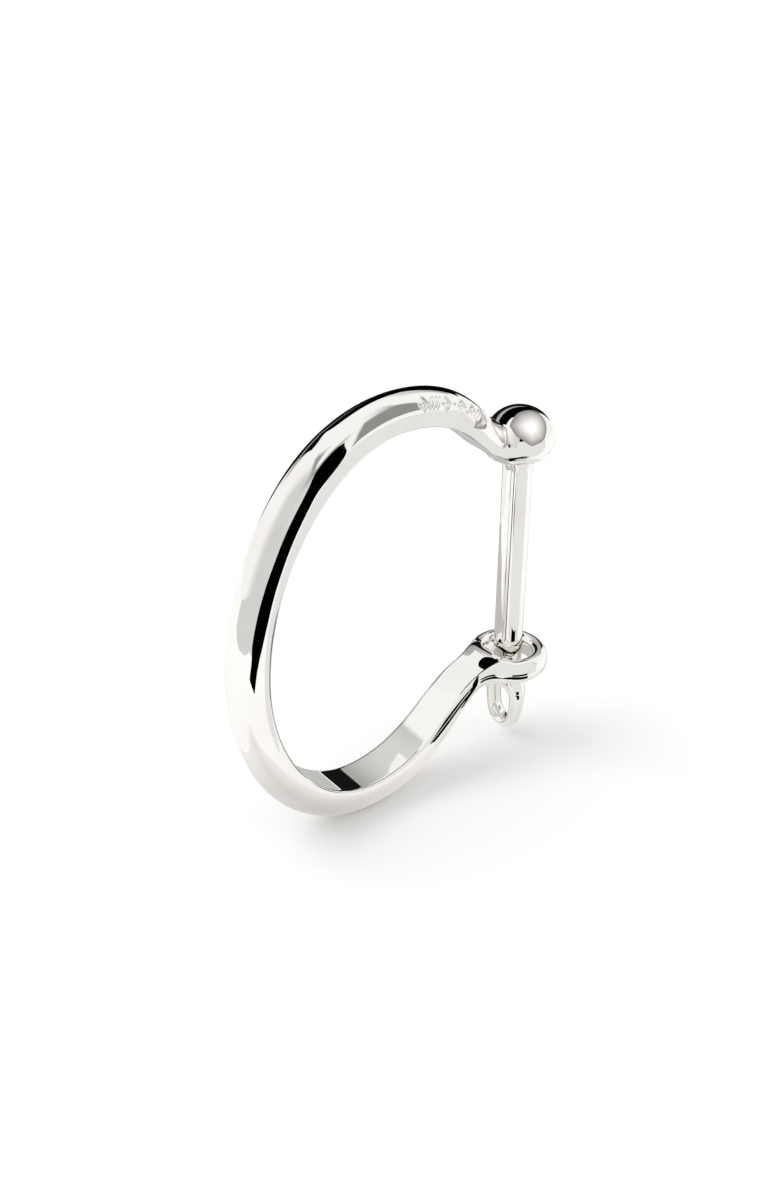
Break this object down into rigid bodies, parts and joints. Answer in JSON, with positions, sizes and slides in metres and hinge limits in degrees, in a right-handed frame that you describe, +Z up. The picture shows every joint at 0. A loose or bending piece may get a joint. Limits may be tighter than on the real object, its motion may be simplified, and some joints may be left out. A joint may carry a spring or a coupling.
{
  "type": "screw pin shackle ring",
  "caption": "Polished metal bow-shackle ring: an open hand-shaped bow with a knob and an eye, closed by a straight screw pin with a needle-eye head.",
  "frame": {"origin": "bottom centre of the whole part, on the surface that the ring stands on", "axes": "+Z up along the pin, +X from the far side of the bow towards the pin, and the bow lies in the XZ plane"},
  "size_m": [0.0613, 0.0136, 0.069],
  "materials": {
    "bow_silver": "polished",
    "pin_silver": "polished"
  },
  "bodies": {
    "bow": {"bow": "bow_silver"},
    "screw_pin": {"pin": "pin_silver"}
  },
  "joints": [
    {"name": "pin_withdraw", "type": "slide", "parent": "bow", "child": "screw_pin", "axis": [0, 0, -1], "range_m": [0, 0.044]}
  ]
}
